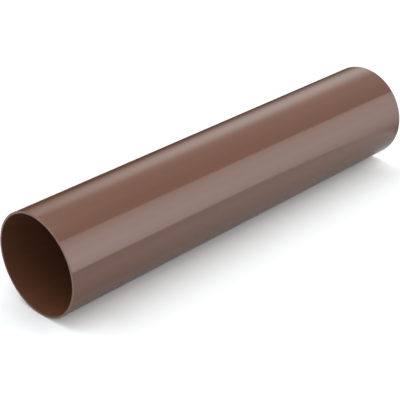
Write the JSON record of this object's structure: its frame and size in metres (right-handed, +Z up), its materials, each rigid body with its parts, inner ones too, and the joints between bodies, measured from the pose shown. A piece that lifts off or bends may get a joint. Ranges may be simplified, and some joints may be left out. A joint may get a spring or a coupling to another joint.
{
  "type": "plastic downpipe",
  "caption": "Straight round plastic rainwater pipe, thin-walled, open and cut square at both ends, in glossy brown.",
  "frame": {"origin": "on the floor under the middle of the pipe, which lies on its side", "axes": "+Y along the pipe's axis, +Z up, +X across the pipe"},
  "size_m": [0.11, 0.51, 0.11],
  "materials": {
    "pvc_u": "smooth extruded gloss brown"
  },
  "bodies": {
    "root": {"downpipe": "pvc_u"}
  },
  "joints": []
}
